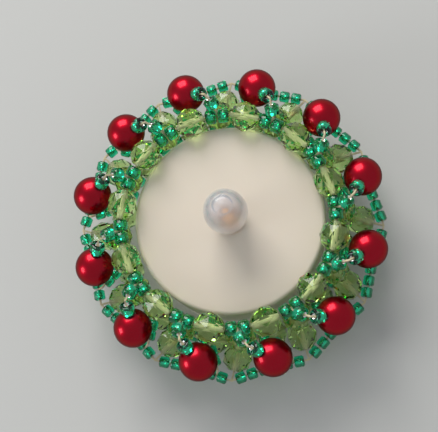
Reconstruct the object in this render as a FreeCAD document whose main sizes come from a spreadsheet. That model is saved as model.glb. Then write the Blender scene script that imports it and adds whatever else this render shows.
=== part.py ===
import FreeCAD, Part
import math
import os

# A woven ring of glass beads that sits on the rim of a battery tealight.
# Frame: +Z up, the table at zero height, the origin under the centre of the bead ring.
# A turn is an angle in degrees, seen from above and clockwise from +Y.

doc = FreeCAD.newDocument("candle_ring")
sheet = doc.addObject("Spreadsheet::Sheet", "sizes")
places = doc.addObject("Spreadsheet::Sheet", "places")

SIZES = {
    # repeat of the weave
    "unit_count": 12,
    "first_turn": 9.5,
    # faceted glass beads
    "faceted_diameter": 6.1,
    "faceted_length": 5.7,
    "faceted_flat": 2.4,
    "faceted_belt": 2.2,
    "faceted_bore": 1.1,
    # imitation pearls
    "pearl_diameter": 8.0,
    "pearl_bore": 1.2,
    # seed beads of the top ring, the lower ring and the stems
    "seed_diameter": 2.9,
    "seed_length": 2.15,
    "seed_hole": 0.95,
    # seed beads of the outer ring and the braces
    "small_diameter": 2.3,
    "small_length": 2.0,
    "small_hole": 0.9,
    # beading thread
    "thread_width": 0.34,
    # shell of the battery tealight
    "shell_diameter": 38.0,
    "shell_height": 15.0,
    "shell_wall": 1.2,
    "shell_top": 1.4,
    "rim_chamfer": 0.9,
    "shift_x": 0.3,
    "shift_y": 0.5,
    # top ring of the weave
    "top_out": 2.2,
    "seat_gap": 0.06,
    "top_gap": 0.38,
    # posts, spokes and lower ring
    "ring_gap": 0.1,
    "post_drop": 4.65,
    "spoke_drop": 4.56,
    "lower_drop": 2.55,
    "lower_gap": 1.2,
    # outer ring
    "spoke_room": 2.4169,
    "outer_dip": 1.6,
    "spoke_lead": 5.5,
    "spoke_seat": 2.04,
    "tip_room": 0.75,
    # pearls and their stems
    "pearl_inset": 2.85,
    "pearl_lag": 12.5,
    "pearl_drop": 2.1,
    "bend_out": 3.9,
    "bend_lag": 4.1,
    "bend_rise": 3.3,
    "bend_setback": 1.3,
    "stem_out": 1.15,
    # braces between the outer ring and the posts
    "brace_out": 1.4669,
    "brace_lead": 15.5,
    "brace_rise": 1.3,
    "brace_setback": 0.3,
    "brace_inset": 1.2,
    "brace_lift": 1.9,
    "tail_lift": 1.7,
    # flame and lamp
    "flame_height": 15.0,
    "flame_neck": 5.6,
    "flame_bulge": 8.4,
    "flame_wall": 0.8,
    "flange_diameter": 9.0,
    "flange_thickness": 0.8,
    "lamp_diameter": 3.0,
    "lamp_rise": 3.0,
    "lamp_length": 5.2,
    "lamp_rim": 3.8,
    "lamp_rim_height": 1.0,
    "leg_width": 0.5,
    "leg_spacing": 2.54,
    # base, coin cell and contacts of the tealight
    "base_recess": 0.4,
    "base_thickness": 1.2,
    "base_gap": 0.05,
    "cell_offset": 3.5,
    "cell_diameter": 20.0,
    "cell_height": 3.2,
    "cell_lift": 0.05,
    "cell_cap": 17.6,
    "cell_cap_height": 0.4,
    "strip_width": 3.0,
    "strip_thickness": 0.3,
    "strip_length": 9.0,
    "strip_rise": 1.8,
    # door and switch in the base
    "door_diameter": 21.4,
    "door_gap": 0.15,
    "door_notch": 3.0,
    "switch_offset": 12.2,
    "switch_length": 3.6,
    "switch_width": 2.2,
    "switch_inset": 0.1,
    "switch_flange": 0.6,
    "switch_lip": 0.8,
    "switch_travel": 2.0,
    "switch_gap": 0.15,
}

# Bands of a round pearl: height and radius as shares of the pearl's radius.
PEARL_SHARES = [(-0.977, 0.213), (-0.80, 0.60), (-0.33, 0.944), (0.33, 0.944), (0.80, 0.60), (0.977, 0.213)]
# Outline of the flame, upwards: height as a share of its height, radius as a share of its bulge.
FLAME_SHARES = [(0.0, 0.67), (0.12, 0.72), (0.32, 0.92), (0.52, 1.0), (0.74, 0.93), (0.90, 0.66), (1.0, 0.24)]
PEARL_SIDES = 14
FACETED_SIDES = 8
BORE_SIDES = 6
SEED_SIDES = 6
SQUARE = 4
SEEDS_PER_SIDE = 3

for row, (alias, number) in enumerate(SIZES.items(), start=1):
    sheet.set("A%d" % row, alias)
    sheet.set("B%d" % row, str(number))
    sheet.setAlias("B%d" % row, alias)
doc.recompute()

UNITS = int(sheet.unit_count)
nodes = []
place_rows = iter(range(1, 1000))


def size(alias):
    return float(getattr(sheet, alias))


def worked_out(alias, formula):
    """A cell of the second sheet that follows from the sizes."""
    row = next(place_rows)
    places.set("A%d" % row, alias)
    places.set("B%d" % row, "=" + formula)
    places.setAlias("B%d" % row, alias)
    return "places." + alias


def point(name):
    return "create(<<vector>>; places.{0}_east; places.{0}_north; places.{0}_up)".format(name)


def place(name, radius, turn, height):
    """A named point of the first unit of the weave."""
    angle = "(sizes.first_turn + %s)" % turn
    worked_out(name + "_east", "%s * sin(%s)" % (radius, angle))
    worked_out(name + "_north", "%s * cos(%s)" % (radius, angle))
    worked_out(name + "_up", height)
    return point(name)


def span(name, start, end):
    """The length of a straight stretch between two named points."""
    squares = " + ".join("(places.{1}_{2} - places.{0}_{2})^2".format(start, end, way)
                         for way in ("east", "north", "up"))
    return worked_out(name, "sqrt(%s)" % squares)


def bound(obj, **formulas):
    for name, formula in formulas.items():
        obj.setExpression(name.replace("__", "."), formula)
    return obj


# Heights and radii of the weave
shift = worked_out("shift", "sqrt(sizes.shift_x^2 + sizes.shift_y^2)")
half_unit = worked_out("half_unit", "180 / sizes.unit_count")
bead_reach = worked_out("bead_reach", "sizes.faceted_diameter / 2 + sizes.rim_chamfer + sizes.seat_gap")
top_radius = worked_out("top_radius", "sizes.shell_diameter / 2 + sizes.top_out")
overhang = worked_out("overhang",
                      "places.top_radius - sizes.shell_diameter / 2 + sizes.rim_chamfer - places.shift")
top_z = worked_out("top_z", "sizes.shell_height - sizes.rim_chamfer"
                            " + sqrt(places.bead_reach^2 - places.overhang^2)")
post_radius = worked_out("post_radius", "sizes.shell_diameter / 2 + places.shift + sizes.ring_gap"
                                        " + sizes.faceted_diameter / 2")
outer_reach = worked_out("outer_reach", "places.post_radius + sizes.faceted_length + sizes.spoke_room")
waist_reach = worked_out("waist_reach", "places.outer_reach - sizes.outer_dip")
post_z = worked_out("post_z", "places.top_z - sizes.post_drop")
spoke_z = worked_out("spoke_z", "places.post_z - sizes.spoke_drop")
lower_z = worked_out("lower_z", "places.spoke_z - sizes.lower_drop")
top_turn = worked_out("top_turn", "atan((sizes.seed_length + sizes.top_gap) / 2 / places.top_radius) / 1 deg")
lower_turn = worked_out("lower_turn", "atan((sizes.seed_length + sizes.lower_gap) / 2 / places.post_radius) / 1 deg")

# Named points of the first unit, where the thread turns or branches
junction = place("junction", top_radius, half_unit, top_z)
post_head = place("post_head", post_radius, half_unit, "places.post_z + sizes.faceted_length / 2")
post_at = place("post_at", post_radius, half_unit, post_z)
post_foot = place("post_foot", post_radius, half_unit, lower_z)
spoke_root = place("spoke_root", post_radius, half_unit, spoke_z)
spoke_tip = place("spoke_tip", outer_reach, half_unit + " + sizes.spoke_lead", spoke_z)
tip_behind = place("tip_behind", outer_reach, "sizes.spoke_lead - " + half_unit, spoke_z)
waist = place("waist", waist_reach, "sizes.spoke_lead", spoke_z)
waist_ahead = place("waist_ahead", waist_reach, "2 * places.half_unit + sizes.spoke_lead", spoke_z)
pearl_at = place("pearl_at", "(places.outer_reach - sizes.pearl_inset)", half_unit + " - sizes.pearl_lag",
                 "places.top_z - sizes.pearl_drop")
stem_root = place("stem_root", "(places.top_radius + sizes.stem_out)", half_unit,
                  "places.top_z + sizes.stem_out")
stem_bend = place("stem_bend", "(places.top_radius + sizes.bend_out)", half_unit + " - sizes.bend_lag",
                  "places.top_z + sizes.bend_rise")
brace_bend = place("brace_bend", "(places.post_radius + sizes.brace_out)", half_unit + " + sizes.brace_lead",
                   "places.spoke_z + sizes.brace_rise")
brace_end = place("brace_end", post_radius, "3 * places.half_unit", "places.spoke_z + sizes.brace_rise")


def partway(name, start, end, share):
    """A named point at a share of the way between two others."""
    for way in ("east", "north", "up"):
        worked_out("%s_%s" % (name, way), "places.{0}_{2} + (places.{1}_{2} - places.{0}_{2}) * ({3})"
                   .format(start, end, way, share))
    return point(name)


def along(start, end, length, distance):
    """The point at a distance from the start of a stretch."""
    return "(%s + (%s - %s) * (%s) / %s)" % (start, end, start, distance, length)


def polygon(name, sides, radius, height):
    ring = doc.addObject("Part::RegularPolygon", name)
    ring.Polygon = sides
    return bound(ring, Circumradius=radius, Placement__Base__z=height)


def banded(name, sides, bands):
    """A closed form of flat faces through level polygons, each given as height and radius."""
    loft = doc.addObject("Part::Loft", name)
    loft.Sections = [polygon("%s_band_%d" % (name, i), sides, r, z) for i, (z, r) in enumerate(bands)]
    loft.Solid = True
    loft.Ruled = True
    loft.Linearize = True
    return loft


def prism(name, sides, radius, length):
    bar = doc.addObject("Part::Prism", name)
    bar.Polygon = sides
    return bound(bar, Circumradius=radius, Height=length, Placement__Base__z="-(%s) / 2" % length)


def strung(name, bead, centre, direction):
    """A bead drilled through and turned so that its hole lies along a direction."""
    blank, drill = bead
    cut = doc.addObject("Part::Cut", name)
    cut.Base = blank
    cut.Tool = drill
    turned = "create(<<rotation>>; create(<<vector>>; 0; 0; 1); %s)" % direction
    return bound(cut, Placement="create(<<placement>>; %s; %s)" % (centre, turned))


def round_ring(name, bead, centre, direction):
    """The same bead in every unit of the ring."""
    first = strung(name + "_01", bead, centre, direction)
    ring = [first]
    for unit in range(1, UNITS):
        cut = doc.addObject("Part::Cut", "%s_%02d" % (name, unit + 1))
        cut.Base = first.Base
        cut.Tool = first.Tool
        turn = "create(<<rotation>>; -%d * 360 / sizes.unit_count; 0; 0)" % unit
        bound(cut, Placement="create(<<placement>>; create(<<vector>>; 0; 0; 0); %s) * %s.Placement"
              % (turn, first.Name))
        ring.append(cut)
    return ring


def node(obj, label):
    obj.Label = label
    nodes.append(obj)


def grouped(label, beads):
    """One node for the beads of a ring that nobody handles one by one."""
    group = doc.addObject("Part::Compound", label)
    group.Links = beads
    node(group, label)


def tangent(turn):
    angle = "sizes.first_turn + " + turn
    return "create(<<vector>>; cos(%s); -sin(%s); 0)" % (angle, angle)


def tangential(name, bead, radius, turn, height):
    """A ring of beads that lie end to end round the weave."""
    return round_ring(name, bead, place(name + "_at", radius, turn, height), tangent(turn))


def on_stretch(name, bead, start, end, length, distance):
    """A ring of beads strung on the stretch between two named points."""
    return round_ring(name, bead, along(start, end, length, distance), "(%s - %s)" % (end, start))


# Bead forms, each made once at the origin with its hole upright
faceted = (banded("faceted_blank", FACETED_SIDES, [
    ("-sizes.faceted_length / 2", "sizes.faceted_flat / 2"),
    ("-sizes.faceted_belt / 2", "sizes.faceted_diameter / 2"),
    ("sizes.faceted_belt / 2", "sizes.faceted_diameter / 2"),
    ("sizes.faceted_length / 2", "sizes.faceted_flat / 2")]),
    prism("faceted_drill", BORE_SIDES, "sizes.faceted_bore / 2", "2 * sizes.faceted_length"))
pearl = (banded("pearl_blank", PEARL_SIDES, [
    ("%s * sizes.pearl_diameter / 2" % z, "%s * sizes.pearl_diameter / 2" % r) for z, r in PEARL_SHARES]),
    prism("pearl_drill", BORE_SIDES, "sizes.pearl_bore / 2", "2 * sizes.pearl_diameter"))
seed = (prism("seed_blank", SEED_SIDES, "sizes.seed_diameter / 2", "sizes.seed_length"),
        prism("seed_punch", SQUARE, "sizes.seed_hole / sqrt(2)", "2 * sizes.seed_length"))
small = (prism("small_blank", SEED_SIDES, "sizes.small_diameter / 2", "sizes.small_length"),
         prism("small_punch", SQUARE, "sizes.small_hole / sqrt(2)", "2 * sizes.small_length"))

# Top ring: a faceted bead and two seed beads in each unit
for bead in tangential("top_bead", faceted, top_radius, "0", top_z):
    node(bead, bead.Name)
grouped("top_seeds",
        tangential("top_seed_near", seed, top_radius, "places.half_unit - places.top_turn", top_z)
        + tangential("top_seed_far", seed, top_radius, "places.half_unit + places.top_turn", top_z))

# Posts and lower ring: the wall that goes round the tealight
grouped("post_beads", round_ring("post_bead", faceted, post_at, "create(<<vector>>; 0; 0; 1)"))
grouped("lower_beads", tangential("lower_bead", faceted, post_radius, "0", lower_z))
grouped("lower_seeds",
        tangential("lower_seed_near", seed, post_radius, "places.half_unit - places.lower_turn", lower_z)
        + tangential("lower_seed_far", seed, post_radius, "places.half_unit + places.lower_turn", lower_z))

# Spokes: a faceted bead that stands out from the foot of each post
spoke = span("spoke", "spoke_tip", "spoke_root")
for bead in on_stretch("radial_bead", faceted, spoke_tip, spoke_root, spoke,
                       "sizes.spoke_seat + sizes.faceted_length / 2"):
    node(bead, bead.Name)

# Outer ring: seed beads on the straight stretches between spoke tips and waists
behind = span("behind", "waist", "tip_behind")
ahead = span("ahead", "waist", "spoke_tip")
outer_pitch = worked_out("outer_pitch", "(places.ahead - sizes.tip_room) / %d" % SEEDS_PER_SIDE)
outer = []
for k in range(SEEDS_PER_SIDE):
    seat = "(%d + 0.5) * %s" % (k, outer_pitch)
    outer += on_stretch("outer_seed_back_%d" % k, small, waist, tip_behind, behind, seat)
    outer += on_stretch("outer_seed_front_%d" % k, small, waist, spoke_tip, ahead, seat)
grouped("outer_seeds", outer)

# Stems: thread from each junction through two seed beads, then down through a pearl
riser = span("riser", "stem_bend", "stem_root")
hanger = span("hanger", "pearl_at", "stem_bend")
grouped("stem_seeds",
        on_stretch("stem_seed_inner", seed, stem_bend, stem_root, riser,
                   "sizes.bend_setback + sizes.seed_length / 2")
        + on_stretch("stem_seed_outer", seed, pearl_at, stem_bend, hanger,
                     "sizes.pearl_diameter / 2 + sizes.seed_length / 2"))
for bead in round_ring("pearl", pearl, pearl_at, "(%s - %s)" % (stem_bend, pearl_at)):
    node(bead, bead.Name)

# Braces: seed beads from the outer ring, over the lower ring, to the foot of the next post
partway("brace_start", "waist_ahead", "spoke_tip", "2 * places.outer_pitch / places.ahead")
span("front", "spoke_tip", "waist_ahead")
worked_out("brace_turn_east", "places.brace_start_east + sizes.brace_inset"
                              " * (places.waist_ahead_north - places.spoke_tip_north) / places.front")
worked_out("brace_turn_north", "places.brace_start_north - sizes.brace_inset"
                               " * (places.waist_ahead_east - places.spoke_tip_east) / places.front")
worked_out("brace_turn_up", "places.brace_start_up + sizes.brace_lift")
brace_turn = point("brace_turn")
brace = span("brace", "brace_bend", "brace_turn")
brace_tail = span("brace_tail", "brace_bend", "brace_end")
first_seat = "sizes.brace_setback + sizes.small_length / 2"
grouped("brace_seeds",
        on_stretch("brace_seed_middle", small, brace_bend, brace_turn, brace, first_seat)
        + on_stretch("brace_seed_outer", small, brace_bend, brace_turn, brace,
                     first_seat + " + sizes.small_length + sizes.seat_gap")
        + on_stretch("brace_seed_inner", small, brace_bend, brace_end, brace_tail,
                     first_seat + " + sizes.brace_setback"))
partway("tail_end", "waist", "tip_behind", "places.outer_pitch / places.behind")
worked_out("tail_bend_east", "places.tail_end_east")
worked_out("tail_bend_north", "places.tail_end_north")
worked_out("tail_bend_up", "places.tail_end_up + sizes.tail_lift")
doc.recompute()


# Thread: square in section, mitred where it turns, fused where strands cross
def worked(alias):
    return float(getattr(places, alias))


def spot(name, unit=0):
    """A named point as it lies in one unit of the ring."""
    first = FreeCAD.Vector(worked(name + "_east"), worked(name + "_north"), worked(name + "_up"))
    return FreeCAD.Rotation(FreeCAD.Vector(0, 0, 1), -360.0 * unit / UNITS).multVec(first)


def round_spot(radius, turn, height):
    angle = math.radians(size("first_turn") + turn)
    return FreeCAD.Vector(radius * math.sin(angle), radius * math.cos(angle), height)


def strand(points, closed):
    """A square bar through points; its corners run on until the plane that halves each turn."""
    half = size("thread_width") / 2
    count = len(points)
    runs = [(points[(i + 1) % count] - points[i]).normalize() for i in range(count if closed else count - 1)]
    side = runs[0].cross(FreeCAD.Vector(0, 0, 1))
    if side.Length < half:
        side = FreeCAD.Vector(1, 0, 0)
    side.normalize()
    over = side.cross(runs[0])
    corners = [points[0] + (side * a + over * b) * half for a, b in ((1, 1), (-1, 1), (-1, -1), (1, -1))]
    planes = []
    for i, at in enumerate(points):
        if not closed and i == 0:
            planes.append((at, runs[0]))
        elif not closed and i == count - 1:
            planes.append((at, runs[-1]))
        else:
            planes.append((at, (runs[i - 1] + runs[i % len(runs)]).normalize()))

    def carried(corner, run, plane):
        at, normal = plane
        return corner + run * ((at - corner).dot(normal) / run.dot(normal))

    sections = [[carried(c, runs[0], planes[0]) for c in corners]]
    for i in range(1, count + (1 if closed else 0)):
        sections.append([carried(c, runs[i - 1], planes[i % count]) for c in sections[-1]])
    if closed:
        sections[-1] = sections[0]
    faces = []
    for near, far in zip(sections, sections[1:]):
        for j in range(SQUARE):
            m = (j + 1) % SQUARE
            faces.append(Part.Face(Part.makePolygon([near[j], near[m], far[m], far[j], near[j]])))
    if not closed:
        for end in (sections[0], sections[-1]):
            faces.append(Part.Face(Part.makePolygon(end + end[:1])))
    bar = Part.makeSolid(Part.makeShell(faces))
    if bar.Volume < 0:
        bar.reverse()
    return bar


def ring_spots(radius, height, seed_turn, seed_length):
    """Corners of a thread ring: at each junction and at both ends of each faceted bead."""
    half = 180.0 / UNITS
    at_seed = math.hypot(radius, seed_length / 2)
    at_bead = (at_seed + math.hypot(radius, size("faceted_length") / 2)) / 2
    bead_turn = half - seed_turn - math.degrees(math.atan(seed_length / 2 / radius))
    spots = []
    for unit in range(UNITS):
        spots.append(round_spot(at_bead, 2 * half * unit - bead_turn, height))
        spots.append(round_spot(at_bead, 2 * half * unit + bead_turn, height))
        spots.append(round_spot(at_seed, 2 * half * unit + half, height))
    return spots


strands = [
    strand(ring_spots(worked("top_radius"), worked("top_z"), worked("top_turn"), size("seed_length")), True),
    strand(ring_spots(worked("post_radius"), worked("lower_z"), worked("lower_turn"), size("seed_length")), True),
    strand([spot(name, unit) for unit in range(UNITS) for name in ("waist", "spoke_tip")], True),
]
for unit in range(UNITS):
    pearl_middle, bend = spot("pearl_at", unit), spot("stem_bend", unit)
    pearl_end = pearl_middle - (bend - pearl_middle).normalize() * (size("pearl_diameter") / 2)
    strands.append(strand([spot("junction", unit), spot("post_head", unit), spot("post_foot", unit)], False))
    strands.append(strand([spot("spoke_root", unit), spot("spoke_tip", unit)], False))
    strands.append(strand([spot("junction", unit), spot("stem_root", unit), bend, pearl_end,
                           spot("tail_bend", unit), spot("tail_end", unit)], False))
    strands.append(strand([spot(name, unit) for name in ("brace_start", "brace_turn", "brace_bend", "brace_end")],
                          False))
thread = doc.addObject("Part::Feature", "beading_thread")
thread.Shape = strands[0].multiFuse(strands[1:])
thread.Placement = FreeCAD.Placement()
node(thread, "beading_thread")


# The battery tealight, which stands a little off the middle of the ring
def cylinder(name, diameter, height, base, east="sizes.shift_x"):
    post = doc.addObject("Part::Cylinder", name)
    return bound(post, Radius="(%s) / 2" % diameter, Height=height, Placement__Base__x=east,
                 Placement__Base__y="sizes.shift_y", Placement__Base__z=base)


def cone(name, lower, upper, height, base):
    taper = doc.addObject("Part::Cone", name)
    return bound(taper, Radius1="(%s) / 2" % lower, Radius2="(%s) / 2" % upper, Height=height,
                 Placement__Base__x="sizes.shift_x", Placement__Base__y="sizes.shift_y",
                 Placement__Base__z=base)


def box(name, length, width, height, east, north, base):
    """A block whose middle lies at a place beside the tealight's axis."""
    block = doc.addObject("Part::Box", name)
    return bound(block, Length=length, Width=width, Height=height,
                 Placement__Base__x="sizes.shift_x + %s - (%s) / 2" % (east, length),
                 Placement__Base__y="sizes.shift_y + %s - (%s) / 2" % (north, width),
                 Placement__Base__z=base)


def fused(name, pieces):
    whole = doc.addObject("Part::MultiFuse", name)
    whole.Shapes = pieces
    return whole


def less(name, base, tool):
    cut = doc.addObject("Part::Cut", name)
    cut.Base = base
    cut.Tool = tool
    return cut


def rounded(name, bands):
    """A closed form through level circles, each given as height and radius."""
    loft = doc.addObject("Part::Loft", name)
    circles = []
    for i, (z, r) in enumerate(bands):
        circle = doc.addObject("Part::Circle", "%s_band_%d" % (name, i))
        circles.append(bound(circle, Radius=r, Placement__Base__x="sizes.shift_x",
                             Placement__Base__y="sizes.shift_y", Placement__Base__z=z))
    loft.Sections = circles
    loft.Solid = True
    loft.Ruled = True
    return loft


# Shell: a cup upside down, its rim taken off all round and its top pierced for the flame
side_height = "sizes.shell_height - sizes.rim_chamfer"
shell_outside = fused("shell_outside", [
    cylinder("shell_side", "sizes.shell_diameter", side_height, "0"),
    cone("shell_rim", "sizes.shell_diameter", "sizes.shell_diameter - 2 * sizes.rim_chamfer",
         "sizes.rim_chamfer", side_height)])
shell_inside = fused("shell_inside", [
    cylinder("shell_hollow", "sizes.shell_diameter - 2 * sizes.shell_wall",
             "2 * (sizes.shell_height - sizes.shell_top)", "-(sizes.shell_height - sizes.shell_top)"),
    cylinder("shell_eye", "sizes.flame_neck + 2 * sizes.base_gap", "2 * sizes.shell_height", "0")])
node(less("candle_shell", shell_outside, shell_inside), "candle_shell")

# Flame: a hollow bulb whose neck goes through the top, with a flange beneath
under_top = "sizes.shell_height - sizes.shell_top"
flame_bands = [("sizes.shell_height + sizes.flame_height * %s" % z, "sizes.flame_bulge / 2 * %s" % r)
               for z, r in FLAME_SHARES]
hollow_bands = [("sizes.shell_height + (sizes.flame_height - sizes.flame_wall) * %s" % z,
                 "sizes.flame_bulge / 2 * %s - sizes.flame_wall" % r) for z, r in FLAME_SHARES]
flame_outside = fused("flame_outside", [
    rounded("flame_bulb", flame_bands),
    cylinder("flame_stem", "sizes.flame_neck", "sizes.shell_top", under_top),
    cylinder("flame_flange", "sizes.flange_diameter", "sizes.flange_thickness",
             under_top + " - sizes.flange_thickness")])
flame_inside = fused("flame_inside", [
    rounded("flame_hollow", hollow_bands),
    cylinder("flame_bore", "sizes.flame_neck - 2 * sizes.flame_wall", "sizes.shell_height",
             "sizes.flange_thickness")])
node(less("flame_cap", flame_outside, flame_inside), "flame_cap")

# Lamp and its two legs
lamp_foot = "sizes.shell_height + sizes.lamp_rise - sizes.lamp_length"
dome = "sizes.lamp_diameter / 2"
node(fused("led_lamp", [
    cylinder("lamp_barrel", "sizes.lamp_diameter", "sizes.lamp_length - " + dome, lamp_foot),
    cone("lamp_dome", "sizes.lamp_diameter", "sizes.lamp_diameter / 2", dome,
         "sizes.shell_height + sizes.lamp_rise - " + dome),
    cylinder("lamp_collar", "sizes.lamp_rim", "sizes.lamp_rim_height", lamp_foot)]), "led_lamp")

floor_top = "sizes.base_recess + sizes.base_thickness"
cell_foot = floor_top + " + sizes.cell_lift"
cell_head = cell_foot + " + sizes.cell_height"
high_strip = cell_head + " + sizes.strip_thickness + sizes.strip_rise"
grouped("led_legs", [
    box("minus_leg", "sizes.leg_width", "sizes.leg_width",
        lamp_foot + " - (%s + sizes.strip_thickness)" % cell_head,
        "-sizes.leg_spacing / 2", "0", cell_head + " + sizes.strip_thickness"),
    box("plus_leg", "sizes.leg_width", "sizes.leg_width",
        lamp_foot + " - (%s + sizes.strip_thickness)" % high_strip,
        "sizes.leg_spacing / 2", "0", high_strip + " + sizes.strip_thickness")])

# Coin cell, which lies on the door, and the strips that feed the lamp
east_of_cell = "sizes.shift_x - sizes.cell_offset"
node(fused("coin_cell", [
    cylinder("cell_cap_disc", "sizes.cell_cap", "sizes.cell_height", cell_foot, east_of_cell),
    cylinder("cell_can", "sizes.cell_diameter", "sizes.cell_height - sizes.cell_cap_height",
             cell_foot, east_of_cell)]), "coin_cell")
node(box("minus_strip", "sizes.strip_length", "sizes.strip_width", "sizes.strip_thickness",
         "sizes.leg_width - sizes.strip_length / 2", "0", cell_head), "minus_strip")
cell_side = "sizes.cell_diameter / 2 - sizes.cell_offset + sizes.base_gap"
plus_reach = "(%s + sizes.strip_thickness - sizes.leg_spacing / 2 + sizes.leg_width)" % cell_side
node(fused("plus_strip", [
    box("plus_tab", "sizes.strip_thickness", "sizes.strip_width", "%s - (%s)" % (high_strip, cell_foot),
        cell_side + " + sizes.strip_thickness / 2", "0", cell_foot),
    box("plus_bridge", plus_reach, "sizes.strip_width", "sizes.strip_thickness",
        "%s + sizes.strip_thickness - %s / 2" % (cell_side, plus_reach), "0", high_strip)]), "plus_strip")

# Base plate with an opening for the cell's door and a slot for the switch
door_bore = "sizes.door_diameter + 2 * sizes.door_gap"
slot_reach = "sizes.switch_length + sizes.switch_travel + 2 * sizes.switch_gap"
node(less("base_plate",
          cylinder("base_disc", "sizes.shell_diameter - 2 * sizes.shell_wall - 2 * sizes.base_gap",
                   "sizes.base_thickness", "sizes.base_recess"),
          fused("base_openings", [
              cylinder("door_opening", door_bore, "3 * sizes.base_thickness", "0", east_of_cell),
              box("switch_slot", "sizes.switch_width + 2 * sizes.switch_gap", slot_reach,
                  "3 * sizes.base_thickness", "sizes.switch_offset", "sizes.switch_travel / 2", "0")])),
     "base_plate")
node(less("battery_door",
          cylinder("door_disc", "sizes.door_diameter", "sizes.base_thickness", "sizes.base_recess", east_of_cell),
          box("finger_notch", "sizes.door_notch", "sizes.door_notch", "sizes.base_thickness",
              "-sizes.cell_offset - sizes.door_diameter / 2", "0", "0")), "battery_door")
node(fused("switch_slider", [
    box("switch_knob", "sizes.switch_width", "sizes.switch_length",
        floor_top + " - sizes.switch_inset", "sizes.switch_offset", "0", "sizes.switch_inset"),
    box("switch_plate", "sizes.switch_width + 2 * sizes.switch_lip",
        "sizes.switch_length + 2 * sizes.switch_lip", "sizes.switch_flange",
        "sizes.switch_offset", "0", floor_top + " + sizes.seat_gap")]), "switch_slider")
doc.recompute()

# Every object is tested before anything is written
for obj in doc.Objects:
    assert not {"Invalid", "Error"} & set(obj.State), "%s did not build" % obj.Name
for obj in nodes:
    assert not obj.Shape.isNull() and obj.Shape.isValid(), "%s has no sound shape" % obj.Label
os.makedirs("parts", exist_ok=True)
for obj in nodes:
    obj.Shape.exportStep(os.path.join("parts", obj.Label + ".step"))
print("wrote %d nodes, %d solids" % (len(nodes), sum(len(obj.Shape.Solids) for obj in nodes)))
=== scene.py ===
import math
import bmesh
import bpy
import numpy as np
from mathutils import Matrix, Vector


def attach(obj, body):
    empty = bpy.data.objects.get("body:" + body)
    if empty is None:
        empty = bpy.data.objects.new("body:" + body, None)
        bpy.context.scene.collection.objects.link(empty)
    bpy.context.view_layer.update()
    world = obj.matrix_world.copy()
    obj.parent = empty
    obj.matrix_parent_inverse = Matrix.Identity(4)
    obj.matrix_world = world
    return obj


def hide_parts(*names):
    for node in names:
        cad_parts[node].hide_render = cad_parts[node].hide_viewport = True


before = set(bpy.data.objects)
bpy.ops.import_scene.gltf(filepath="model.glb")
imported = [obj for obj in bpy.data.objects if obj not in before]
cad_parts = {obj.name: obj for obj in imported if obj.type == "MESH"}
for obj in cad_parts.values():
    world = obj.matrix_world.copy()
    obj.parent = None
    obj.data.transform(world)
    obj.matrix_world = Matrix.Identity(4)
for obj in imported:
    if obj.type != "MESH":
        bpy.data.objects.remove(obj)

mm = 0.001
weldReach, weldDigits = 1e-7, 7  # points nearer than this, in metres, are one
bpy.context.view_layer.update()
print("frame loaded:", len(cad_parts), "nodes")


# measuring the frame's beads

# a CAD node's points in metres and its triangles, as whole arrays
def cadArrays(nodeName):
    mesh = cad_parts[nodeName].data
    points = np.empty(len(mesh.vertices) * 3)
    mesh.vertices.foreach_get("co", points)
    corners = np.empty(len(mesh.loops), dtype=np.int64)
    mesh.loops.foreach_get("vertex_index", corners)
    return points.reshape(-1, 3), corners.reshape(-1, 3)


# the separate solids of a CAD node, each as its own points
def islands(nodeName):
    points, triangles = cadArrays(nodeName)
    spots, spotOf = np.unique(np.round(points, weldDigits), axis=0, return_inverse=True)
    triangles = spotOf.reshape(-1)[triangles]
    label = np.arange(len(spots))
    while True:  # each triangle takes its lowest label until nothing changes
        lowest = label[triangles].min(axis=1)
        before = label.copy()
        np.minimum.at(label, triangles.reshape(-1), np.repeat(lowest, 3))
        if (label == before).all():
            break
    return [spots[label == one] for one in np.unique(label)]


# each bead's middle, hole direction, half length and radius
def beadPlaces(nodeName):
    found = []
    for points in islands(nodeName):
        middle = points.mean(axis=0)
        spread, directions = np.linalg.eigh(np.cov((points - middle).T))
        odd = 0 if spread[1] - spread[0] > spread[2] - spread[1] else 2  # two spreads are alike, not the hole's
        axis = directions[:, odd]
        along = (points - middle) @ axis
        across = np.linalg.norm(points - middle - along[:, None] * axis, axis=1)
        found.append((middle, axis, np.abs(along).max(), across.max()))
    return found


def turnedTo(axis):  # a turn that carries +Z onto an axis
    return np.array(Vector((0, 0, 1)).rotation_difference(Vector(axis)).to_matrix())


# making surfaces

# one ring of points for each radius, turned by its phase in steps: x = r cos t, y = r sin t, z = height
def roundGrid(radii, heights, sides, phases=None):
    radii, heights = np.asarray(radii, float), np.asarray(heights, float)
    phases = np.zeros(len(radii)) if phases is None else np.asarray(phases, float)
    turn = 2 * np.pi * (np.arange(sides)[None, :] + phases[:, None]) / sides
    x, y = radii[:, None] * np.cos(turn), radii[:, None] * np.sin(turn)
    return np.stack([x, y, np.broadcast_to(heights[:, None], x.shape)], axis=2)


# the four corners of each cell, closed all round and from the last ring back to the first
def gridCells(rows, sides):
    row, side = np.arange(rows)[:, None], np.arange(sides)[None, :]
    ahead, above = (side + 1) % sides, (row + 1) % rows
    return row * sides + side, row * sides + ahead, above * sides + side, above * sides + ahead


# a quad for each cell
def gridFaces(rows, sides):
    near, far, nearAbove, farAbove = gridCells(rows, sides)
    return np.stack([near, far, farAbove, nearAbove], axis=2).reshape(-1, 4)


# two triangles for each cell, split along the shorter way when the next ring is half a step on or back
def facetFaces(rows, sides, phases):
    near, far, nearAbove, farAbove = gridCells(rows, sides)
    rising = (np.roll(phases, -1) - np.asarray(phases))[:, None] > 0
    first = np.stack([near, far, np.where(rising, nearAbove, farAbove)], axis=2)
    second = np.stack([np.where(rising, far, near), farAbove, nearAbove], axis=2)
    return np.stack([first, second], axis=2).reshape(-1, 3)


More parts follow.
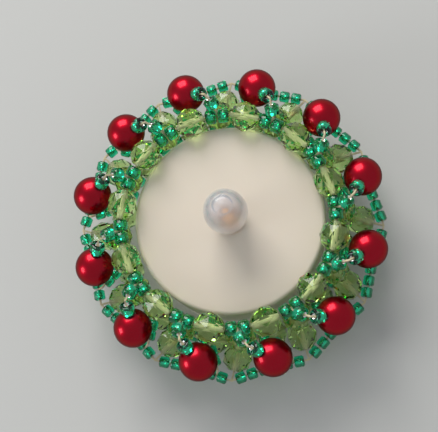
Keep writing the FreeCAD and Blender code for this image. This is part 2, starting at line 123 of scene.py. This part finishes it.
# joins doubled points and drops stray edges, which closes seams and poles, and points all faces outwards
def welded(mesh):
    work = bmesh.new()
    work.from_mesh(mesh)
    bmesh.ops.remove_doubles(work, verts=work.verts, dist=weldReach)
    bmesh.ops.delete(work, geom=[edge for edge in work.edges if not edge.link_faces], context="EDGES")
    bmesh.ops.recalc_face_normals(work, faces=work.faces)
    work.to_mesh(mesh)
    work.free()


# a mesh object at the origin from arrays of points and of faces, with a material slot for each face
def meshPiece(name, points, faces, materials, smooth=True, slots=None):
    mesh = bpy.data.meshes.new(name)
    mesh.from_pydata(np.asarray(points).reshape(-1, 3).tolist(), [], np.asarray(faces).tolist())
    for material in materials:
        mesh.materials.append(material)
    mesh.polygons.foreach_set("use_smooth", np.full(len(mesh.polygons), smooth))
    if slots is not None:
        mesh.polygons.foreach_set("material_index", np.asarray(slots, dtype=np.int32))
    mesh.update()
    piece = bpy.data.objects.new(name, mesh)
    bpy.context.scene.collection.objects.link(piece)
    return piece


# one shape at every bead, its +Z turned along the hole and scaled by the bead's radius and half length:
# point = middle + turn * (radius x, radius y, half length z)
def strungTogether(shape, faces, places):
    shape = shape.reshape(-1, 3)
    points = np.concatenate([(shape * (radius, radius, half)) @ turnedTo(axis).T + middle
                             for middle, axis, half, radius in places])
    return points, np.concatenate([faces + k * len(shape) for k in range(len(places))])


# finishes

# a material whose numbers are set on the shader's own sockets
def newMaterial(name, color, roughness, **sockets):
    material = bpy.data.materials.new(name)
    material.use_nodes = True
    shader = material.node_tree.nodes["Principled BSDF"]
    shader.inputs["Base Color"].default_value = (*color, 1.0)
    shader.inputs["Roughness"].default_value = roughness
    for socket, value in sockets.items():
        shader.inputs[socket].default_value = value
    return material


mottleDetail = 3.0


# slow noise that takes one colour to another and puts out a matching height
def mottleGroup():
    group = bpy.data.node_groups.new("mottle", "ShaderNodeTree")
    for name, kind in (("First", "NodeSocketColor"), ("Second", "NodeSocketColor"), ("Scale", "NodeSocketFloat")):
        group.interface.new_socket(name, in_out="INPUT", socket_type=kind)
    for name, kind in (("Color", "NodeSocketColor"), ("Height", "NodeSocketFloat")):
        group.interface.new_socket(name, in_out="OUTPUT", socket_type=kind)
    nodes, links = group.nodes, group.links
    given, result = nodes.new("NodeGroupInput"), nodes.new("NodeGroupOutput")
    where, noise = nodes.new("ShaderNodeTexCoord"), nodes.new("ShaderNodeTexNoise")
    mix = nodes.new("ShaderNodeMix")
    mix.data_type = "RGBA"
    noise.inputs["Detail"].default_value = mottleDetail
    links.new(where.outputs["Object"], noise.inputs["Vector"])
    links.new(given.outputs["Scale"], noise.inputs["Scale"])
    links.new(noise.outputs["Fac"], mix.inputs["Factor"])
    links.new(given.outputs["First"], mix.inputs["A"])
    links.new(given.outputs["Second"], mix.inputs["B"])
    links.new(mix.outputs["Result"], result.inputs["Color"])
    links.new(noise.outputs["Fac"], result.inputs["Height"])
    return group


mottle = mottleGroup()


# lays the mottle's colours on a material and, with a bump, its height as relief of a depth in mm
def mottled(material, first, second, scale, bump=0.0, depth=0.0):
    nodes, links = material.node_tree.nodes, material.node_tree.links
    shader = nodes["Principled BSDF"]
    pattern = nodes.new("ShaderNodeGroup")
    pattern.node_tree = mottle
    pattern.inputs["First"].default_value = (*first, 1.0)
    pattern.inputs["Second"].default_value = (*second, 1.0)
    pattern.inputs["Scale"].default_value = scale
    links.new(pattern.outputs["Color"], shader.inputs["Base Color"])
    if bump:
        relief = nodes.new("ShaderNodeBump")
        relief.inputs["Strength"].default_value = bump
        relief.inputs["Distance"].default_value = depth * mm
        links.new(pattern.outputs["Height"], relief.inputs["Height"])
        links.new(relief.outputs["Normal"], shader.inputs["Normal"])
    return material


# faceted glass beads: fire polished, with lozenge facets round a drilled hole

cutBead = dict(sides=8, color=(0.97, 1.0, 0.90), roughness=0.02, ior=1.52,
               tint=(0.66, 0.92, 0.18), density=215.0,  # the glass deepens with its thickness
               boreColor=(1.0, 0.87, 0.84), boreRoughness=0.35, boreClear=0.1,
               bore=0.15, radii=(0.40, 0.84, 1.0, 0.84, 0.40),  # shares of the bead's radius
               heights=(-1.0, -0.6, 0.0, 0.6, 1.0), phases=(0, 0.5, 0, 0.5, 0))  # shares of its half length, steps
cutGlass = newMaterial("peridotGlass", cutBead["color"], cutBead["roughness"],
                       **{"Transmission Weight": 1.0, "IOR": cutBead["ior"]})
drilledGlass = newMaterial("drilledGlass", cutBead["boreColor"], cutBead["boreRoughness"],
                           **{"Transmission Weight": cutBead["boreClear"], "IOR": cutBead["ior"]})
for glass in (cutGlass, drilledGlass):
    nodes, links = glass.node_tree.nodes, glass.node_tree.links
    tint = nodes.new("ShaderNodeVolumeAbsorption")
    tint.inputs["Color"].default_value = (*cutBead["tint"], 1.0)
    tint.inputs["Density"].default_value = cutBead["density"]
    links.new(tint.outputs["Volume"], nodes["Material Output"].inputs["Volume"])


# rings turned by alternate half steps make the lozenge facets; the last two rings are the drilled hole's
def cutBeads(nodeName, body):
    radii = cutBead["radii"] + (cutBead["bore"],) * 2
    heights = cutBead["heights"] + (cutBead["heights"][-1], cutBead["heights"][0])
    phases = cutBead["phases"] + (0, 0)
    facets = facetFaces(len(radii), cutBead["sides"], phases)
    places = beadPlaces(nodeName)
    points, faces = strungTogether(roundGrid(radii, heights, cutBead["sides"], phases), facets, places)
    holeRow = np.arange(len(radii)) == len(radii) - 2  # the last row but one is the hole's wall
    slots = np.repeat(holeRow, 2 * cutBead["sides"])
    beads = meshPiece(nodeName + "Cut", points, faces, [cutGlass, drilledGlass], smooth=False,
                      slots=np.tile(slots, len(places)))
    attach(beads, body)
    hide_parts(nodeName)


for nodeName in ([f"top_bead_{k:02d}" for k in range(1, 13)] + [f"radial_bead_{k:02d}" for k in range(1, 13)]
                 + ["post_beads", "lower_beads"]):
    cutBeads(nodeName, "beaded_ring")
print("cut glass beads done")

# seed beads: short round tubes of glass with a bright lining

seedBead = dict(sides=12, color=(0.015, 0.60, 0.30), roughness=0.03, ior=1.5,
                lining=(1.0, 1.0, 1.0), liningRoughness=0.12, liningMetallic=0.9,
                rounding=0.25, hole=0.38)  # shares of the bead's radius
seedGlass = newMaterial("emeraldGlass", seedBead["color"], seedBead["roughness"],
                        **{"Transmission Weight": 1.0, "IOR": seedBead["ior"]})
seedLining = newMaterial("mintLining", seedBead["lining"], seedBead["liningRoughness"],
                         Metallic=seedBead["liningMetallic"])


# a ring's section turned round the hole: end, rounded edge, side, rounded edge, end, and the wall of the hole
def seedBeads(nodeName, body):
    cut, hole = seedBead["rounding"], seedBead["hole"]
    radii = (hole, 1 - cut, 1, 1, 1 - cut, hole)
    heights = (-1, -1, cut - 1, 1 - cut, 1, 1)
    faces = gridFaces(len(radii), seedBead["sides"])
    points, allFaces = strungTogether(roundGrid(radii, heights, seedBead["sides"]), faces, beadPlaces(nodeName))
    slots = np.zeros(len(allFaces), dtype=np.int32)
    slots.reshape(-1, len(faces))[:, -seedBead["sides"]:] = 1  # the wall of the hole
    beads = meshPiece(nodeName + "Round", points, allFaces, [seedGlass, seedLining], slots=slots)
    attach(beads, body)
    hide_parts(nodeName)


for nodeName in ("top_seeds", "lower_seeds", "stem_seeds", "outer_seeds", "brace_seeds"):
    seedBeads(nodeName, "beaded_ring")
print("seed beads done")

# pearls

pearl = dict(hole=0.15, sides=48, rows=26, mottle=260.0,  # the hole is a share of the radius
             color=(0.34, 0.001, 0.010), warm=(0.44, 0.002, 0.018),
             roughness=0.34, coat=0.3, coatRoughness=0.1, metallic=1.0, rim=(0.10, 0.0, 0.01))
pearlCoat = mottled(newMaterial("redPearl", pearl["color"], pearl["roughness"],
                                **{"Metallic": pearl["metallic"], "Coat Weight": pearl["coat"],
                                   "Coat Roughness": pearl["coatRoughness"],
                                   "Specular Tint": (*pearl["rim"], 1.0)}),  # a metal's tint at its rim
                    pearl["color"], pearl["warm"], pearl["mottle"])


# a ball whose poles are drilled through: radius = sin a, height = cos a, then back down the hole
def pearlShape():
    first = math.asin(pearl["hole"])
    angle = np.linspace(np.pi - first, first, pearl["rows"])
    return roundGrid(np.sin(angle), np.cos(angle), pearl["sides"])


for k in range(1, 13):
    nodeName = f"pearl_{k:02d}"
    points, faces = strungTogether(pearlShape(), gridFaces(pearl["rows"], pearl["sides"]), beadPlaces(nodeName))
    ball = meshPiece(nodeName + "Ball", points, faces, [pearlCoat])
    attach(ball, nodeName)
    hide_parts(nodeName)
print("pearls done")

# thread

threadLook = dict(color=(0.70, 0.62, 0.42), dark=(0.50, 0.42, 0.25), roughness=0.8,
                  mottle=2400.0, bump=0.4, depth=0.05,
                  softening=0.09, rounds=3, softened=50)  # edges over 50 degrees are rounded by 0.09 mm
threadFinish = mottled(newMaterial("creamThread", threadLook["color"], threadLook["roughness"]),
                       threadLook["color"], threadLook["dark"], threadLook["mottle"],
                       threadLook["bump"], threadLook["depth"])
strands = meshPiece("threadStrands", *cadArrays("beading_thread"), [threadFinish])
welded(strands.data)
soft = strands.modifiers.new("softEdges", "BEVEL")
soft.width, soft.segments = threadLook["softening"] * mm, threadLook["rounds"]
soft.angle_limit = math.radians(threadLook["softened"])
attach(strands, "beaded_ring")
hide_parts("beading_thread")
print("thread done")

# tealight, in mm; the eye is the hole that the flame comes through

tealight = dict(middle=(0.3, 0.5), radius=19.0, height=15.0, wall=1.2, top=1.4, eye=2.85,
                rim=0.9, footEdge=0.15, eyeEdge=0.2, rimSteps=7, sides=128, crease=35,
                color=(0.77, 0.68, 0.565), shade=(0.74, 0.65, 0.535), mottle=90.0,
                roughness=0.4, coat=0.2, coatRoughness=0.3,
                subsurface=0.15, subsurfaceRadius=(0.002, 0.0015, 0.001))
ivory = mottled(newMaterial("ivoryPlastic", tealight["color"], tealight["roughness"],
                            **{"Coat Weight": tealight["coat"], "Coat Roughness": tealight["coatRoughness"],
                               "Subsurface Weight": tealight["subsurface"],
                               "Subsurface Radius": tealight["subsurfaceRadius"]}),
                tealight["color"], tealight["shade"], tealight["mottle"])


# a closed outline of radii and heights in mm, turned about the tealight's axis
def tealightTurned(name, radii, heights, material):
    points = roundGrid(np.array(radii) * mm, np.array(heights) * mm, tealight["sides"])
    points[..., :2] += np.array(tealight["middle"]) * mm
    turned = meshPiece(name, points, gridFaces(len(radii), tealight["sides"]), [material])
    welded(turned.data)
    return turned


# up the outside, a quarter circle round the rim, in over the top, through the eye and down the inside
def shellOutline():
    t = tealight
    turn = np.linspace(0, np.pi / 2, t["rimSteps"])
    radii = [t["radius"] - t["wall"], t["radius"] - t["footEdge"], t["radius"]]
    heights = [0.0, 0.0, t["footEdge"]]
    radii += list(t["radius"] - t["rim"] * (1 - np.cos(turn)))
    heights += list(t["height"] - t["rim"] * (1 - np.sin(turn)))
    radii += [t["eye"] + t["eyeEdge"], t["eye"], t["eye"], t["radius"] - t["wall"]]
    heights += [t["height"], t["height"] - t["eyeEdge"], t["height"] - t["top"], t["height"] - t["top"]]
    return radii, heights


shell = tealightTurned("candleShell", *shellOutline(), ivory)
shell.data.set_sharp_from_angle(angle=math.radians(tealight["crease"]))
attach(shell, "tealight")
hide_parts("candle_shell")

flame = dict(foot=15.0, height=15.0, bulge=4.2, wall=0.8, neck=2.8, flange=4.5, flangeThickness=0.8,
             dimple=2.0, dimpleDepth=0.3, lip=0.12, lipWidth=0.2, rows=90, innerRows=30, power=5,
             shares=((0.0, 0.67), (0.12, 0.72), (0.32, 0.92), (0.52, 1.0),  # of the height, of the bulge
                     (0.74, 0.93), (0.90, 0.66), (0.97, 0.40), (1.0, 0.0)),
             color=(0.94, 0.95, 1.0), roughness=0.22, clear=0.82, ior=1.4, coat=0.8, coatRoughness=0.06)
frosted = newMaterial("frostedPlastic", flame["color"], flame["roughness"],
                      **{"Transmission Weight": flame["clear"], "IOR": flame["ior"],
                         "Coat Weight": flame["coat"], "Coat Roughness": flame["coatRoughness"]})


# a smooth curve fitted to the shares along the outline's own length, times the height and bulge less the wall
def flameOutline(wall, rows):
    shares = np.array(flame["shares"])
    steps = np.diff(shares, axis=0) * (flame["height"], flame["bulge"])
    run = np.concatenate([[0], np.cumsum(np.hypot(*steps.T))])
    fine = np.linspace(0, run[-1], rows)
    heights, radii = [np.polyval(np.polyfit(run, share, flame["power"]), fine) for share in shares.T]
    heights, radii = np.clip(heights, 0, 1), np.maximum(radii, 0)
    radii[-1] = 0
    return radii * (flame["bulge"] - wall), flame["foot"] + heights * (flame["height"] - wall)


# lowers the tip inside the dimple by depth * (1 - (r / dimple)^2) and raises a narrow bell-shaped lip round it
def dimpledTip(radii, heights):
    inTip = heights > flame["foot"] + flame["height"] / 2
    hollow = flame["dimpleDepth"] * np.clip(1 - (radii / flame["dimple"]) ** 2, 0, 1)
    lip = flame["lip"] * np.exp(-((radii - flame["dimple"]) / flame["lipWidth"]) ** 2)
    return heights + inTip * (lip - hollow)


outerRadii, outerHeights = flameOutline(0.0, flame["rows"])
outerHeights = dimpledTip(outerRadii, outerHeights)
innerRadii, innerHeights = flameOutline(flame["wall"], flame["innerRows"])
under = flame["foot"] - tealight["top"]
neckRadii = [flame["neck"] - flame["wall"], flame["flange"], flame["flange"], flame["neck"]]
neckHeights = [under - flame["flangeThickness"], under - flame["flangeThickness"], under, under]
bulb = tealightTurned("flameBulb", neckRadii + list(outerRadii) + list(innerRadii[::-1]),
                      neckHeights + list(outerHeights) + list(innerHeights[::-1]), frosted)
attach(bulb, "tealight")
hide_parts("flame_cap")
print("shell and flame done")

# the lamp in the flame, and the parts in the foot

# the lamp is switched off: its faint glow is painted light, so that the amber lamp shows brighter through the
# flame
lampLook = dict(color=(0.90, 0.52, 0.16), roughness=0.2, paintedGlow=(1.0, 0.45, 0.12), strength=0.3)
lampResinPaintedGlow = newMaterial("amberResinPaintedGlow", lampLook["color"], lampLook["roughness"],
                        **{"Emission Color": (*lampLook["paintedGlow"], 1.0), "Emission Strength": lampLook["strength"]})
footLooks = dict(platedMetal=dict(color=(0.75, 0.75, 0.74), roughness=0.28, Metallic=1.0),
                 cellSteel=dict(color=(0.72, 0.72, 0.73), roughness=0.34, Metallic=1.0),
                 switchPlastic=dict(color=(0.03, 0.03, 0.03), roughness=0.45))
plated, brushed, darkPlastic = [newMaterial(name, **look) for name, look in footLooks.items()]
for nodeName, material in (("led_lamp", lampResinPaintedGlow), ("led_legs", plated), ("plus_strip", plated),
                           ("minus_strip", plated), ("coin_cell", brushed), ("base_plate", ivory),
                           ("battery_door", ivory), ("switch_slider", darkPlastic)):
    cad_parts[nodeName].data.materials.clear()
    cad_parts[nodeName].data.materials.append(material)
print("small parts done")

# room: floor, light and camera

room = dict(floor=0.6, under=0.1,  # the floor's width in metres, its place under the object in mm
            floorColor=(0.54, 0.54, 0.52), floorRoughness=0.9,
            world=(0.90, 0.93, 0.97), worldStrength=0.5)


# one pale square just under the object, clear from below and to the soft light that reaches the underside
def plainFloor():
    half = room["floor"] / 2
    points = np.array([(-half, -half, 0), (half, -half, 0), (half, half, 0), (-half, half, 0)])
    points[:, 2] = -room["under"] * mm
    paper = newMaterial("floorPaper", room["floorColor"], room["floorRoughness"])
    nodes, links = paper.node_tree.nodes, paper.node_tree.links
    clear, side = nodes.new("ShaderNodeBsdfTransparent"), nodes.new("ShaderNodeNewGeometry")
    ray, mix = nodes.new("ShaderNodeLightPath"), nodes.new("ShaderNodeMixShader")
    softLight, passing = nodes.new("ShaderNodeMath"), nodes.new("ShaderNodeMath")
    softLight.operation = passing.operation = "MAXIMUM"
    links.new(ray.outputs["Is Diffuse Ray"], softLight.inputs[0])
    links.new(ray.outputs["Is Shadow Ray"], softLight.inputs[1])
    links.new(side.outputs["Backfacing"], passing.inputs[0])
    links.new(softLight.outputs["Value"], passing.inputs[1])
    links.new(passing.outputs["Value"], mix.inputs["Fac"])
    links.new(nodes["Principled BSDF"].outputs["BSDF"], mix.inputs[1])
    links.new(clear.outputs["BSDF"], mix.inputs[2])
    links.new(mix.outputs["Shader"], nodes["Material Output"].inputs["Surface"])
    meshPiece("floor", points, [(0, 1, 2, 3)], [paper], smooth=False)


plainFloor()
world = bpy.data.worlds.new("studio")
world.use_nodes = True
world.node_tree.nodes["Background"].inputs["Color"].default_value = (*room["world"], 1.0)
world.node_tree.nodes["Background"].inputs["Strength"].default_value = room["worldStrength"]
bpy.context.scene.world = world

# places and sizes in metres
lamps = dict(window=dict(place=(-0.25, 0.62, 0.50), size=0.56, power=6.0, color=(1.0, 0.98, 0.95)),
             fill=dict(place=(-0.40, -0.14, 0.16), size=0.16, power=0.5, color=(0.92, 0.96, 1.0)))
lampAim = (0.0, 0.0, 0.01)


# a square lamp that faces the object's foot
def softLamp(name, place, size, power, color):
    light = bpy.data.lights.new(name, "AREA")
    light.size, light.energy, light.color = size, power, color
    lamp = bpy.data.objects.new(name, light)
    lamp.location = place
    lamp.rotation_euler = (Vector(lampAim) - Vector(place)).to_track_quat("-Z", "Y").to_euler()
    bpy.context.scene.collection.objects.link(lamp)


for name, facts in lamps.items():
    softLamp(name, **facts)

photo = dict(target=(0.3, 1.0, 15.0), distance=204.5, towards=(0.094, -0.186, 0.978),  # in mm
             lens=84.9, sensor=36.0, nearest=0.01, farthest=5.0,
             width=438, height=432, seenAt=(229.7, 217.0))  # in pixels


# looks at the target from the photograph's side; the shift puts the target where the photograph has it
def photoCamera():
    camera = bpy.data.cameras.new("photoCamera")
    camera.lens, camera.sensor_width, camera.sensor_fit = photo["lens"], photo["sensor"], "HORIZONTAL"
    camera.clip_start, camera.clip_end = photo["nearest"], photo["farthest"]
    camera.shift_x = (photo["width"] / 2 - photo["seenAt"][0]) / photo["width"]
    camera.shift_y = (photo["seenAt"][1] - photo["height"] / 2) / photo["width"]
    back = Vector(photo["towards"]).normalized()
    up = (Vector((0, 1, 0)) - back * back.y).normalized()
    holder = bpy.data.objects.new("photoCamera", camera)
    turn = Matrix((up.cross(back), up, back)).transposed()
    place = (Vector(photo["target"]) + back * photo["distance"]) * mm
    holder.matrix_world = Matrix.Translation(place) @ turn.to_4x4()
    bpy.context.scene.collection.objects.link(holder)
    bpy.context.scene.camera = holder


photoCamera()
bpy.context.scene.view_settings.view_transform = "Standard"
print("room done")
